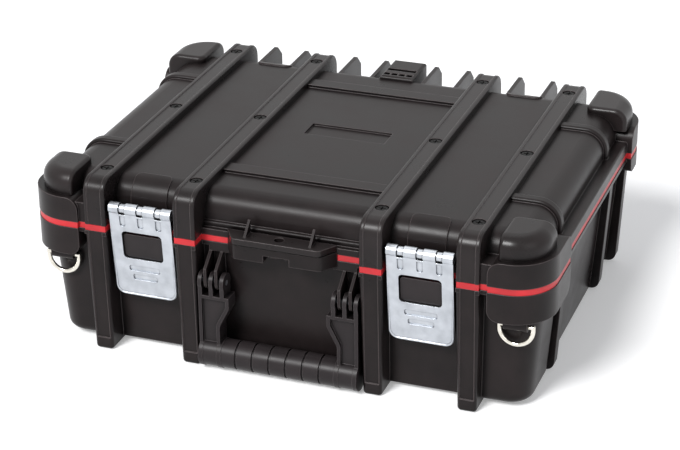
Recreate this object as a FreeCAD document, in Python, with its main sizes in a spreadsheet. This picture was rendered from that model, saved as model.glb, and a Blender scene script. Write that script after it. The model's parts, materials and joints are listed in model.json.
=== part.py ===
import FreeCAD, Part
import Sketcher
import math
import os
import re

# A moulded technician's tool case with a strapped lid, steel latches, carry handle and D-rings.
# Millimetres, +Z up, front towards -Y. Places are worked out about the middle of the shell,
# and every piece is then moved back by depth_shift, so that the origin is under the middle of the case.

doc = FreeCAD.newDocument("tool_case")
sizes = doc.addObject("Spreadsheet::Sheet", "sizes")

LENGTHS = {
    # Overall form of the shell
    "case_width": 488,          # over the corner lobes
    "rib_reach": 184,           # from the middle of the shell to a rib's or lobe's front
    "case_height": 172,         # floor to strap tops
    "lid_rise": 50,             # strap tops above the base's rim
    "bay_sink": 15.5,           # rim's front between the ribs, behind the ribs
    "side_step": 5,             # rim's side between the lobes, inside the lobes
    "seal_height": 5.7,
    "seal_depth": 3.2,          # how deep the strip sits in the rim
    "seal_recess": 0.6,         # strip face behind the rim's face
    "lid_gap": 0.3,             # between the strip and the lid
    "lobe_round": 38,           # plan corner of the lobes
    "lobe_gap": 6.5,            # between an outer rib and the lobe beside it
    "front_lobe_length": 79,    # along the sides
    "rear_lobe_length": 58,
    "link_step": 3,             # rim between outer rib and lobe, behind the rib's face
    "link_height": 19,
    # Base tub
    "floor_height": 4,        # underside of the tub above the ground
    "tub_side_step": 4.5,       # tub's wall inside the rim's edge
    "tub_front_step": 1.5,
    "tub_side_draft": 10,        # each wall leans in by this towards the floor
    "tub_front_draft": 3,
    "tub_round": 22,            # upright corners
    "tub_edge_round": 8,        # lower edges
    "wall": 3.5,
    "rim_wall": 6.5,            # tub wall at the rim
    "mouth_step": 1,            # ledge where the inside widens at the rim
    "flange_thick": 4,
    "tongue_drop": 0.5,         # tongue's top below the strip's top
    "base_lobe_height": 27.5,
    "base_lobe_round": 11,
    "rear_lobe_height": 15,
    "rear_lobe_round": 7,
    "rib_width": 21,
    "outer_rib_inset": 70,      # outer rib's middle inside the lobes' faces
    "side_bay_sink": 5,         # side walls between the corner columns
    "front_bay_high": 2,        # front and rear walls between the ribs, at the rim
    "front_bay_low": 7,         # and at the floor
    "side_bay_lead": 1,         # bay's front behind the front lobe's end
    "side_bay_tail": 16,        # bay's back behind the rear lobe's front
    "rib_edge_round": 3.5,
    "rib_taper": 1.75,          # a rib's foot narrower by this, each side
    "rib_draft": 4,             # a rib's front leans in by this at the foot
    "foot_round": 3,
    "rib_channel_foot": 12,     # lower end of the shallow channel in a rib's front
    "side_rib_width": 11,
    "side_rib_inset": 100,      # side ribs' middles behind the ribs' fronts
    "side_rib_sink": 3,         # side rib's top inside the rim's edge
    "side_rib_proud": 3.7,      # side rib's foot outside the tub's wall
    "rear_post_proud": 5,       # rear corner post's foot outside the tub's wall
    "side_rib_foot": 3,
    "side_rib_round": 8,
    # Lid
    "dome_side_step": 17,       # dome's wall inside the lobes' faces
    "dome_front_step": 8.5,     # dome's wall behind the bays
    "strap_rise": 7,            # strap tops above the lid panel
    "dome_round": 34,
    "dome_edge_round": 19,
    "lid_wall": 3.5,
    "lid_flange": 6,
    "flange_step": 5,           # second step of the lid's flange, in from the edge
    "flange_step_rise": 5,
    "flange_step_round": 2,
    "lid_lobe_height": 23,
    "lid_lobe_round": 12,
    "cross_rib_inset": 53,      # cross ribs' middles inside the dome's wall
    "cross_rib_width": 15,
    "cross_rib_rise": 3,
    "side_rib_rise": 3.5,
    "side_rib_edge": 2.5,
    "pad_share": 1.167,         # pad's width to half the flap's
    "pad_length": 18,
    "pad_rise": 1.5,
    "pad_round": 6,
    "plate_half_width": 39.5,   # bare recess in the lid panel
    "plate_front": 9,
    "plate_back": 17,
    "plate_sink": 2.2,
    "bumper_inset": 6,          # bumper's face behind the lobe's face
    "bumper_edge_round": 13,
    "bumper_inner_round": 8,
    "bumper_lip_round": 4,
    "bumper_gap": 7,            # bumper's inner face beyond the lobe's inner end
    "front_bumper_length": 54,
    "rear_bumper_length": 62,
    # Straps and their screws
    "strap_edge_round": 15,
    "strap_side_round": 2,
    "channel_width": 13,
    "channel_sink": 0.8,
    "screw_inset": 8,           # end screws inside the dome's wall
    "screw_sink": 2.2,
    "sink_gap": 1.1,            # round a screw's head
    "head_radius": 5.2,
    "head_thick": 1.6,
    "shank_radius": 1.9,
    "shank_fit": 0.05,
    "driver_width": 1.2,
    "driver_length": 6.4,
    "driver_sink": 1,
    # Rear hinge
    "fin_proud": 21,            # fins' rear behind the ribs
    "fin_thick": 4,
    "fin_spread": 33.5,         # between the two fins of one hinge
    "fin_lap": 14,              # fin's root inside the dome's wall
    "fin_drop": 1,              # fin's top edge below the lid panel
    "fin_slope": 11,            # rear upper corner cut
    "fin_eye": 11,
    "knuckle_radius": 9,
    "hinge_clearance": 0.4,
    "hinge_pin_radius": 2.5,
    "pin_fit": 0.05,
    "pin_proud": 1.5,
    "stand_half_width": 17,
    "stand_lap": 17,            # stand block's front inside the dome's wall
    "stand_length": 47,
    "stand_rise": 3.5,
    "stand_drop": 26,
    "stand_pocket": 6,
    "stand_pocket_gap": 1.8,
    "stand_pocket_sink": 4,
    "stand_pocket_lead": 5,
    "stand_slot_width": 6,
    "stand_slot_lead": 17,
    "stand_round": 3,
    # Latches
    "latch_side_gap": 3,        # between a flap and the ribs beside it
    "latch_sink": 0.8,          # barrel's front behind the ribs' fronts
    "latch_thick": 1.5,
    "flap_length": 87.8,        # from the pin to the foot
    "latch_round": 9,
    "barrel_rise": 17.8,        # pin above the lid's lower edge
    "barrel_radius": 5.25,
    "latch_pin_radius": 2.6,
    "plate_setback": 1.2,       # flap's plate behind the front of its barrel
    "leaf_knuckle": 5,
    "knuckle_step": 1.1,        # leaf's knuckles smaller than the flap's barrel
    "pitch_share": 0.5833,      # between the leaf's knuckles, to half the flap's width
    "leaf_side_gap": 3,         # leaf narrower than the flap, each side
    "leaf_lift": 1.5,
    "knuckle_clearance": 0.6,
    "window_share": 1.3,        # window's width to half the flap's
    "window_drop": 21.1,        # below the pin
    "window_height": 27.9,
    "window_round": 4,
    "upper_bar_share": 1,
    "upper_bar_drop": 55.9,
    "lower_bar_share": 0.8,
    "lower_bar_drop": 65,
    "bar_height": 5.8,
    "bar_round": 2,
    "press_depth": 1.1,
    "slot_width": 5.6,
    "slot_drop": 5.8,
    "slot_length": 10.2,
    "latch_lean": 8.5,          # foot of the closed flap behind its top
    "seat_gap": 4.45,           # lid face that carries the leaf, behind the pin
    "catch_side_gap": 1,        # between a catch and the sides of the window
    "catch_drop": 1.5,          # catch's top below the rim
    "catch_height": 25.5,
    "catch_round": 2.5,
    "catch_clearance": 0.8,
    "rivet_radius": 1.6,
    "rivet_head_radius": 3,
    "rivet_head_thick": 1.2,
    "rivet_share": 0.6,
    "rivet_grip": 5,
    # Carry handle
    "handle_side_gap": 1,       # between the handle and the inner ribs
    "grip_clearance": 5,        # between the grip and the bay's foot
    "pivot_rise": 87,           # share of the rim's height below the pivot
    "pivot_drop": 35,           # and above it
    "finger_thick": 3.6,
    "finger_pitch": 10.5,
    "finger_radius": 9,
    "lug_radius": 7.5,
    "lug_thick": 2.6,
    "lug_knee": 14,             # where a lug's front turns back to the rim, above the pivot
    "lug_block_width": 28,
    "lug_block_height": 5,
    "arm_thick": 16,
    "arm_bend_round": 9,
    "arm_drop": 12,             # bridge between the fingers, below the pivot
    "arm_top_width": 29,
    "arm_low_width": 19.5,
    "arm_bend_drop": 11,        # where the arm starts to narrow, below the bridge
    "arm_recess": 3,
    "arm_rim": 3,
    "grip_height": 15.5,
    "collar_radius": 14,
    "collar_step": 0.6,         # grip thinner than its collars
    "collar_width": 4,
    "grip_groove_pitch": 16,
    "grip_groove_width": 2,
    "grip_groove_depth": 1.6,
    "handle_pin_radius": 2.5,
    # Padlock tab and lock block
    "tab_proud": 2,             # tab's front beyond the ribs
    "tab_flare": 11,            # tab's root wider than its front, each side
    "tab_rise": 3,              # tab's underside above the lid's lower edge
    "tab_thick": 6,
    "tab_round": 5,
    "gusset_inset": 10,
    "gusset_thick": 2.2,
    "gusset_rise": 12,
    "padlock_edge": 10.5,       # hole's middle behind the tab's front
    "padlock_radius": 4.5,
    "lock_side_gap": 6,         # between the lock block and the handle's lugs
    "lock_drop": 5.5,           # lock block's underside below the rim
    "lock_gap": 0.5,
    "lock_seam_round": 1.2,     # edges along the seam between tab and block
    "lock_notch_half": 12,
    "lock_notch_rise": 7,
    "lock_root": 4,             # what the notch leaves at the rim
    # D-rings
    "ring_inset": 30,           # ring's middle inside the lobe's side
    "ring_sink": 13.5,          # ring's bar behind the lobe's front
    "ring_drop": 6.5,           # ring's bar below the lobe
    "ring_half_width": 15,      # wire centre line
    "ring_leg": 3.3,
    "wire_radius": 2.1,
    "ring_fit": 0.06,
    "ring_lug_gap": 2.2,        # between the lug and the ring's legs
    "ring_lug_radius": 4.6,
    # Working allowance of all cuts, and the tolerance for finding edges
    "overrun": 10,
    "touch": 0.001,
}

PLACES = {
    # Shell
    "half_width": "case_width / 2",
    "side_reach": "half_width - side_step",
    "bay_reach": "rib_reach - bay_sink",
    "depth_shift": "(fin_reach - handle_depth - collar_radius) / 2",
    "rim_height": "case_height - lid_rise",
    "panel_height": "case_height - strap_rise",
    "seal_top": "rim_height + seal_height",
    "lid_low": "seal_top + lid_gap",
    "tongue_top": "seal_top - tongue_drop",
    "half_rib": "rib_width / 2",
    "outer_rib": "half_width - outer_rib_inset",
    "inner_rib": "outer_rib / 2",
    "lobe_start": "outer_rib + half_rib + lobe_gap",
    "lobe_front_end": "rib_reach - front_lobe_length",
    "lobe_rear_end": "rib_reach - rear_lobe_length",
    # Base
    "tub_width_top": "(side_reach - tub_side_step) * 2",
    "tub_width_bottom": "tub_width_top - tub_side_draft * 2",
    "tub_depth_top": "(bay_reach - tub_front_step) * 2",
    "tub_depth_bottom": "tub_depth_top - tub_front_draft * 2",
    "tub_floor": "floor_height + wall",
    "side_wall": "side_bay_sink + wall",
    "front_wall": "front_bay_low + wall",
    "side_bay_front": "lobe_front_end - side_bay_lead",
    "side_bay_back": "lobe_rear_end + side_bay_tail",
    "half_side_rib": "side_rib_width / 2",
    "side_rib_place": "rib_reach - side_rib_inset",
    "side_rib_reach_top": "side_reach - side_rib_sink",
    "side_rib_reach_low": "tub_width_bottom / 2 + side_rib_proud",
    "rear_post_place": "side_bay_back + half_side_rib",
    "rear_post_reach": "tub_width_bottom / 2 + rear_post_proud",
    # Lid
    "half_dome_width": "half_width - dome_side_step",
    "half_dome_depth": "bay_reach - dome_front_step",
    "cross_rib_place": "half_dome_depth - cross_rib_inset",
    "pad_start": "half_dome_depth - pad_length",
    "bumper_start": "lobe_start + bumper_gap",
    "bumper_front_start": "rib_reach - front_bumper_length",
    "bumper_rear_start": "rib_reach - rear_bumper_length",
    "screw_place": "half_dome_depth - screw_inset",
    "sink_radius": "head_radius + sink_gap",
    # Rear hinge and stand block
    "fin_reach": "rib_reach + fin_proud",
    "fin_root": "half_dome_depth - fin_lap",
    "fin_top": "panel_height - fin_drop",
    "inner_hinge": "inner_rib / 2",
    "outer_hinge": "(outer_rib + inner_rib) / 2",
    "hinge_depth": "fin_reach - fin_eye",
    "knuckle_half": "(fin_spread - fin_thick) / 2 - hinge_clearance",
    "hinge_bore": "hinge_pin_radius + pin_fit",
    "stand_front": "half_dome_depth - stand_lap",
    "stand_back": "stand_front + stand_length",
    "stand_pocket_front": "stand_front + stand_pocket_lead",
    "stand_slot_front": "stand_front + stand_slot_lead",
    # Latches
    "latch_place": "(outer_rib + inner_rib) / 2",
    "half_latch": "(outer_rib - inner_rib - rib_width) / 2 - latch_side_gap",
    "leaf_pitch": "half_latch * pitch_share",
    "window_width": "half_latch * window_share",
    "upper_bar_width": "half_latch * upper_bar_share",
    "lower_bar_width": "half_latch * lower_bar_share",
    "rivet_spread": "half_latch * rivet_share",
    "pad_width": "half_latch * pad_share",
    "latch_front": "rib_reach - latch_sink",
    "latch_back": "latch_front - plate_setback - latch_thick",
    "barrel_height": "lid_low + barrel_rise",
    "barrel_depth": "latch_front - barrel_radius",
    "latch_bore": "latch_pin_radius + pin_fit",
    "flap_face": "plate_setback - barrel_radius",
    "flap_back": "flap_face + latch_thick",
    "lean_share": "latch_lean / flap_length",
    "leaf_width": "(half_latch - leaf_side_gap) * 2",
    "latch_seat_reach": "barrel_depth - seat_gap",
    "leaf_front": "latch_seat_reach + latch_thick",
    "leaf_foot": "lid_low + leaf_lift",
    "leaf_top": "barrel_height - barrel_radius - knuckle_clearance",
    "leaf_knuckle_radius": "barrel_radius - knuckle_step",
    "rivet_height": "(leaf_foot + leaf_top) / 2",
    "half_knuckle": "leaf_knuckle / 2",
    "knuckle_gap": "half_knuckle + knuckle_clearance",
    "catch_width": "window_width - catch_side_gap * 2",
    "catch_high": "rim_height - catch_drop",
    "catch_low": "catch_high - catch_height",
    # Carry handle
    "handle_half_width": "inner_rib - half_rib - handle_side_gap",
    "handle_depth": "tub_depth_bottom / 2 - front_bay_low + collar_radius + grip_clearance",
    "handle_pivot": "rim_height * pivot_rise / (pivot_rise + pivot_drop)",
    "outer_finger": "handle_half_width - finger_thick / 2",
    "half_finger": "finger_thick / 2",
    "lug_half": "lug_thick / 2",
    "lug_front": "handle_depth + lug_radius",
    "lug_block_inner": "handle_half_width - lug_block_width",
    "lug_block_outer": "outer_finger - finger_pitch / 2 + lug_half",
    "half_arm": "arm_thick / 2",
    "arm_shoulder": "handle_pivot - arm_drop",
    "arm_inner_top": "handle_half_width - arm_top_width",
    "arm_inner_low": "handle_half_width - arm_low_width",
    "arm_bend_high": "arm_shoulder - arm_bend_drop",
    "arm_bend_low": "(arm_shoulder + grip_height) / 2",
    "grip_radius": "collar_radius - collar_step",
    "handle_bore": "handle_pin_radius + pin_fit",
    # Padlock tab and lock block
    "tab_front_half": "arm_inner_top - lock_side_gap",
    "tab_root_half": "tab_front_half + tab_flare",
    "tab_reach": "rib_reach + tab_proud",
    "tab_low": "lid_low + tab_rise",
    "tab_top": "tab_low + tab_thick",
    "gusset_place": "tab_front_half - gusset_inset",
    "padlock_place": "tab_reach - padlock_edge",
    "lock_low": "rim_height - lock_drop",
    "lock_top": "tab_low - lock_gap",
    # D-rings
    "ring_place": "half_width - ring_inset",
    "ring_depth": "rib_reach - ring_sink",
    "ring_height": "rim_height - base_lobe_height - ring_drop",
    "ring_bore": "wire_radius + ring_fit",
    "ring_lug_half": "ring_half_width - wire_radius - ring_lug_gap",
}


def fill_sheet():
    for row, (name, value) in enumerate(LENGTHS.items(), 1):
        sizes.set(f"A{row}", name)
        sizes.set(f"B{row}", str(value))
        sizes.setAlias(f"B{row}", name)
    doc.recompute()


def formula(text):
    # A formula in plain names becomes references to the sheet's cells.
    def reference(match):
        word = match.group(0)
        if word in PLACES:
            return "(" + formula(PLACES[word]) + ")"
        return "sizes." + word
    return re.sub(r"[a-z_]+", reference, text)


def size(name):
    return 0 if name == "0" else sizes.get(name)


def bind(item, **formulas):
    for prop, text in formulas.items():
        item.setExpression(prop.replace("__", "."), formula(text))
    return item


# Building blocks

def block(name, x, y, z):
    box = doc.addObject("Part::Box", name)
    for axis, side, (low, high) in (("x", "Length", x), ("y", "Width", y), ("z", "Height", z)):
        box.setExpression("Placement.Base." + axis, formula(low))
        box.setExpression(side, formula(f"({high}) - ({low})"))
    return box


def around(middle, half):
    return f"({middle}) - ({half})", f"({middle}) + ({half})"


def spread(half):
    return f"-({half})", half


def sided(sign, low, high):
    # A span on the right of the middle, or its mirror image on the left.
    return (f"-({high})", f"-({low})") if sign else (low, high)


def taper_block(name, z, width_low, depth_low, width_high, depth_high):
    form = doc.addObject("Part::Wedge", name)
    bind(form, Ymin=z[0], Ymax=z[1])
    bind(form, Xmin=f"-({width_low}) / 2", Xmax=f"({width_low}) / 2")
    bind(form, Zmin=f"-({depth_low}) / 2", Zmax=f"({depth_low}) / 2")
    bind(form, X2min=f"-({width_high}) / 2", X2max=f"({width_high}) / 2")
    bind(form, Z2min=f"-({depth_high}) / 2", Z2max=f"({depth_high}) / 2")
    upright = FreeCAD.Rotation(FreeCAD.Vector(1, 0, 0), 90)
    form.Placement = FreeCAD.Placement(FreeCAD.Vector(), upright)
    return form


def rod(name, radius, x, y, z):
    pin = doc.addObject("Part::Cylinder", name)
    along = FreeCAD.Rotation(FreeCAD.Vector(0, 1, 0), 90)
    pin.Placement = FreeCAD.Placement(FreeCAD.Vector(), along)
    bind(pin, Radius=radius, Height=f"({x[1]}) - ({x[0]})")
    return bind(pin, Placement__Base__x=x[0], Placement__Base__y=y, Placement__Base__z=z)


def post(name, radius, x, y, z):
    pin = doc.addObject("Part::Cylinder", name)
    bind(pin, Radius=radius, Height=f"({z[1]}) - ({z[0]})")
    return bind(pin, Placement__Base__x=x, Placement__Base__y=y, Placement__Base__z=z[0])


def stud(name, radius, x, y, z):
    pin = doc.addObject("Part::Cylinder", name)
    backward = FreeCAD.Rotation(FreeCAD.Vector(1, 0, 0), -90)
    pin.Placement = FreeCAD.Placement(FreeCAD.Vector(), backward)
    bind(pin, Radius=radius, Height=f"({y[1]}) - ({y[0]})")
    return bind(pin, Placement__Base__x=x, Placement__Base__y=y[0], Placement__Base__z=z)


PLANES = {
    "XY": (FreeCAD.Rotation(), FreeCAD.Vector(0, 0, 1), "z"),
    "XZ": (FreeCAD.Rotation(FreeCAD.Vector(1, 0, 0), 90), FreeCAD.Vector(0, 1, 0), "y"),
    "YZ": (FreeCAD.Rotation(FreeCAD.Vector(1, 1, 1), 120), FreeCAD.Vector(1, 0, 0), "x"),
}


def prism(name, plane, points, low, high):
    # A straight-sided outline, drawn as a unit polygon and pulled to its sizes, then extruded.
    turn, direction, axis = PLANES[plane]
    outline = doc.addObject("Sketcher::SketchObject", name + "_outline")
    outline.Placement = FreeCAD.Placement(FreeCAD.Vector(), turn)
    outline.setExpression("Placement.Base." + axis, formula(low))
    count = len(points)
    turns = [2 * math.pi * number / count for number in range(count + 1)]
    corners = [FreeCAD.Vector(math.cos(angle), math.sin(angle), 0) for angle in turns]
    for start, end in zip(corners, corners[1:]):
        outline.addGeometry(Part.LineSegment(start, end), False)
    for number in range(count):
        outline.addConstraint(Sketcher.Constraint("Coincident", number, 2, (number + 1) % count, 1))
    for number, point in enumerate(points):
        for kind, text, unit in (("DistanceX", point[0], corners[number].x),
                                 ("DistanceY", point[1], corners[number].y)):
            place = outline.addConstraint(Sketcher.Constraint(kind, -1, 1, number, 1, unit))
            outline.setExpression(f"Constraints[{place}]", formula(text))
    solid = doc.addObject("Part::Extrusion", name)
    solid.Base = outline
    solid.DirMode = "Custom"
    solid.Dir = direction
    solid.Solid = True
    return bind(solid, LengthFwd=f"({high}) - ({low})")


def joined(name, parts):
    whole = doc.addObject("Part::MultiFuse", name)
    whole.Shapes = parts
    whole.Refine = True
    return whole


def group(name, parts):
    together = doc.addObject("Part::Compound", name)
    together.Links = parts
    return together


def less(name, base, tool):
    result = doc.addObject("Part::Cut", name)
    result.Base = base
    result.Tool = tool
    return result


def shared(name, base, tool):
    result = doc.addObject("Part::Common", name)
    result.Base = base
    result.Tool = tool
    return result


# Rounding: edges are found by how they lie

def upright(edge, shape):
    box = edge.BoundBox
    return box.ZLength > box.XLength + box.YLength


def lies_at(edge, height):
    return all(abs(corner.Z - height) < size("touch") for corner in edge.Vertexes)


def on_top(edge, shape):
    return lies_at(edge, max(corner.Z for corner in shape.Vertexes))


def on_bottom(edge, shape):
    return lies_at(edge, min(corner.Z for corner in shape.Vertexes))


def crosswise(edge):
    box = edge.BoundBox
    return box.XLength > box.YLength + box.ZLength


def lengthwise(edge):
    box = edge.BoundBox
    return box.YLength > box.XLength + box.ZLength


def front_to_back(edge, shape):
    return lengthwise(edge)


def arm_bend(edge, shape):
    return front_to_back(edge, shape) and not on_top(edge, shape) and not on_bottom(edge, shape)


def rib_arris(edge, shape):
    # A long outer edge of a side rib, from the strap over the shoulder to the rim.
    inner = min(abs(corner.X) for corner in shape.Vertexes)
    rooted = all(abs(abs(corner.X) - inner) < size("touch") for corner in edge.Vertexes)
    return edge.BoundBox.YLength < size("touch") and not on_bottom(edge, shape) and not rooted


def inner_lip(edge, shape):
    # A top edge of a bumper on its two inner faces and the rounded corner between them.
    across = min(abs(corner.X) for corner in shape.Vertexes)
    along = min(abs(corner.Y) for corner in shape.Vertexes)
    inner = [min(abs(abs(corner.X) - across), abs(abs(corner.Y) - along)) for corner in edge.Vertexes]
    return on_top(edge, shape) and max(inner) < size("touch")


def front_corner(edge, shape):
    root = max(corner.Y for corner in shape.Vertexes)
    return upright(edge, shape) and edge.BoundBox.YMax < root - size("touch")


def off_root(edge, shape):
    root = max(corner.Y for corner in shape.Vertexes)
    return any(corner.Y < root - size("touch") for corner in edge.Vertexes)


def low_front(edge, shape):
    return on_bottom(edge, shape) and off_root(edge, shape)


def top_front(edge, shape):
    return on_top(edge, shape) and off_root(edge, shape)


def rounded(name, base, radius, chosen):
    doc.recompute()
    shape = base.Shape
    picked = [number for number, edge in enumerate(shape.Edges, 1) if chosen(edge, shape)]
    result = doc.addObject("Part::Fillet", name)
    result.Base = base
    result.Edges = [(number, radius, radius) for number in picked]
    return result


SIDES = (("left", "-"), ("right", ""))
pieces = []


def piece(item, label):
    item.Label = label
    item.setExpression("Placement.Base.y", formula("-depth_shift"))
    pieces.append(item)


def hang(item, label):
    # A flap is drawn about its own pin and then hung on the lid, its foot leaning in.
    item.Placement = FreeCAD.Placement(FreeCAD.Vector(), FreeCAD.Rotation(FreeCAD.Vector(1, 0, 0), 1))
    item.setExpression("Placement.Rotation.Angle", "atan(" + formula("lean_share") + ")")
    item.setExpression("Placement.Base.z", formula("barrel_height"))
    piece(item, label)
    item.setExpression("Placement.Base.y", formula("-barrel_depth - depth_shift"))


# The rim's outline: lobes at the corners, ribs between, bays behind

def rim_sheet(name, z, inset):
    edge = block(name + "_edge", spread(f"half_width - {inset}"), spread(f"rib_reach - {inset}"), z)
    sheet_form = rounded(name + "_sheet", edge, size("lobe_round") - size(inset), upright)
    bays = []
    for side, y in (("front", ("-rib_reach - overrun", f"-bay_reach + {inset}")),
                    ("back", (f"bay_reach - {inset}", "rib_reach + overrun"))):
        bays.append(block(f"{name}_bay_{side}", spread(f"lobe_start + {inset}"), y, z))
    for side, sign in SIDES:
        bays.append(block(f"{name}_bay_{side}", sided(sign, f"side_reach - {inset}", "half_width + overrun"),
                          (f"-lobe_front_end - {inset}", f"lobe_rear_end + {inset}"), z))
    return less(name + "_sunk", sheet_form, group(name + "_bay_set", bays))


def rim_plate(name, z, inset):
    plate = rim_sheet(name, z, inset)
    ribs = []
    for place in ("outer_rib", "inner_rib", "-outer_rib", "-inner_rib"):
        label = f"{name}_rib_{place}".replace("-", "minus_")
        ribs.append(block(label, around(place, f"half_rib - {inset}"), spread(f"rib_reach - {inset}"), z))
    for side, sign in SIDES:
        x = sided(sign, "outer_rib", "lobe_start + link_step")
        ribs.append(block(f"{name}_link_{side}", x, spread(f"rib_reach - link_step - {inset}"), z))
    return joined(name, [plate] + ribs)


def corner_lobes(name, z):
    edge = block(name + "_edge", spread("half_width"), spread("rib_reach"), z)
    whole = rounded(name + "_whole", edge, size("lobe_round"), upright)
    middle = [
        block(name + "_gap_x", spread("lobe_start"), spread("rib_reach + overrun"), z),
        block(name + "_gap_y", spread("half_width + overrun"), ("-lobe_front_end", "lobe_rear_end"), z),
    ]
    return less(name, whole, joined(name + "_gaps", middle))


def lobe_end(edge, shape):
    # The edge bounds an inner end of a lobe, towards the bays or along the sides.
    inner = min(abs(corner.X) for corner in shape.Vertexes)
    front = max(corner.Y for corner in shape.Vertexes if corner.Y < 0)
    rear = min(corner.Y for corner in shape.Vertexes if corner.Y > 0)
    if all(abs(abs(corner.X) - inner) < size("touch") for corner in edge.Vertexes):
        return True
    for plane in (front, rear):
        if all(abs(corner.Y - plane) < size("touch") for corner in edge.Vertexes):
            return True
    return False


def lobe_top_end(edge, shape):
    return on_top(edge, shape) and lobe_end(edge, shape)


def lobe_low_end(edge, shape):
    return on_bottom(edge, shape) and lobe_end(edge, shape)


def dome(name, grow, low):
    form = block(name + "_block", spread(f"half_dome_width + {grow}"), spread(f"half_dome_depth + {grow}"),
                 (low, f"panel_height + {grow}"))
    corners = rounded(name + "_corners", form, size("dome_round") + size(grow), upright)
    return rounded(name, corners, size("dome_edge_round") + size(grow), on_top)


# Base shell

def base_ribs():
    ribs = []
    for number, place in enumerate(("-outer_rib", "-inner_rib", "inner_rib", "outer_rib"), 1):
        bar = taper_block(f"base_rib_{number}_bar", ("0", "rim_height"), "(half_rib - rib_taper) * 2",
                          "(rib_reach - rib_draft) * 2", "rib_width", "rib_reach * 2")
        bind(bar, Placement__Base__x=place)
        edges = rounded(f"base_rib_{number}_edges", bar, size("rib_edge_round"), upright)
        ribs.append(rounded(f"base_rib_{number}", edges, size("foot_round"), on_bottom))
    return ribs


def rib_channels():
    channels = []
    for side, sign in (("front", "-"), ("back", "")):
        def across(text):
            return f"{sign}({text})"
        outline = [(across("rib_reach + overrun"), "rim_height"),
                   (across("rib_reach - channel_sink"), "rim_height"),
                   (across("rib_reach - rib_draft - channel_sink"), "rib_channel_foot"),
                   (across("rib_reach + overrun"), "rib_channel_foot")]
        for number, place in enumerate(("-outer_rib", "-inner_rib", "inner_rib", "outer_rib"), 1):
            x = around(place, "channel_width / 2")
            channels.append(prism(f"rib_channel_{side}_{number}", "YZ", outline, *x))
    return channels


def side_ribs():
    ribs = []
    for number, place, reach in ((1, "-side_rib_place", "side_rib_reach_low"),
                                 (2, "side_rib_place", "side_rib_reach_low"),
                                 (3, "rear_post_place", "rear_post_reach")):
        outline = [("-side_rib_reach_top", "rim_height"), (f"-({reach})", "side_rib_foot"),
                   (reach, "side_rib_foot"), ("side_rib_reach_top", "rim_height")]
        bar = prism(f"side_rib_{number}_bar", "XZ", outline, *around(place, "half_side_rib"))
        ribs.append(rounded(f"side_rib_{number}", bar, size("side_rib_round"),
                            lambda edge, shape: on_bottom(edge, shape) and lengthwise(edge)))
    return ribs


def handle_lugs():
    lugs = []
    under = "rim_height - flange_thick - lug_block_height"
    web = [("-half_dome_depth", "rim_height"), ("-bay_reach", "rim_height"), ("-bay_reach", under),
           ("-lug_front", "handle_pivot + lug_knee"), ("-lug_front", "handle_pivot"),
           ("-handle_depth", "handle_pivot - lug_radius"),
           ("-half_dome_depth", "handle_pivot - lug_radius")]
    for side, sign in SIDES:
        x = sided(sign, "lug_block_inner", "lug_block_outer")
        y = ("-bay_reach", "-half_dome_depth")
        lugs.append(block(f"lug_block_{side}", x, y, (under, "rim_height")))
        for number, steps in (("outer", "1 / 2"), ("inner", "3 / 2")):
            x = around(f"{sign}(outer_finger - finger_pitch * {steps})", "lug_half")
            lugs.append(prism(f"lug_web_{side}_{number}", "YZ", web, *x))
            lugs.append(rod(f"lug_eye_{side}_{number}", "lug_radius", x, "-handle_depth", "handle_pivot"))
    return lugs


def ring_lugs():
    lugs = []
    for side, sign in SIDES:
        x = around(f"{sign}ring_place", "ring_lug_half")
        lugs.append(rod(f"ring_lug_eye_{side}", "ring_lug_radius", x, "-ring_depth", "ring_height"))
        lugs.append(block(f"ring_lug_root_{side}", x, around("-ring_depth", "ring_lug_radius"),
                          ("ring_height", "rim_height - flange_thick")))
    return lugs


def hinge_places():
    return (("left_outer", "-outer_hinge"), ("left_inner", "-inner_hinge"),
            ("right_inner", "inner_hinge"), ("right_outer", "outer_hinge"))


def base_knuckles():
    knuckles = []
    for side, place in hinge_places():
        x = around(place, "knuckle_half")
        knuckles.append(rod(f"knuckle_{side}", "knuckle_radius", x, "hinge_depth", "lid_low"))
        arm = [("half_dome_depth", "rim_height"), ("bay_reach", "rim_height"),
               ("hinge_depth", "lid_low - lid_gap"),
               ("hinge_depth", "lid_low - knuckle_radius"),
               ("half_dome_depth", "rim_height - knuckle_radius * 3")]
        knuckles.append(prism(f"knuckle_arm_{side}", "YZ", arm, *x))
    return knuckles


def wall_bays():
    bays = []
    y = ("-side_bay_front", "side_bay_back")
    for side, sign in SIDES:
        outline = [(f"{sign}(tub_width_top / 2 - side_bay_sink)", "rim_height"),
                   (f"{sign}(tub_width_bottom / 2 - side_bay_sink)", "floor_height"),
                   (f"{sign}(tub_width_bottom / 2 - side_bay_sink)", "floor_height - overrun"),
                   (f"{sign}(half_width + overrun)", "floor_height - overrun"),
                   (f"{sign}(half_width + overrun)", "rim_height")]
        bays.append(prism(f"side_bay_{side}", "XZ", outline, *y))
    for side, sign in (("front", "-"), ("back", "")):
        outline = [(f"{sign}(tub_depth_top / 2 - front_bay_high)", "rim_height"),
                   (f"{sign}(tub_depth_bottom / 2 - front_bay_low)", "floor_height"),
                   (f"{sign}(tub_depth_bottom / 2 - front_bay_low)", "floor_height - overrun"),
                   (f"{sign}(rib_reach + overrun)", "floor_height - overrun"),
                   (f"{sign}(rib_reach + overrun)", "rim_height")]
        bays.append(prism(f"wall_bay_{side}", "YZ", outline, *spread("outer_rib")))
    return group("wall_bays", bays)


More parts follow.
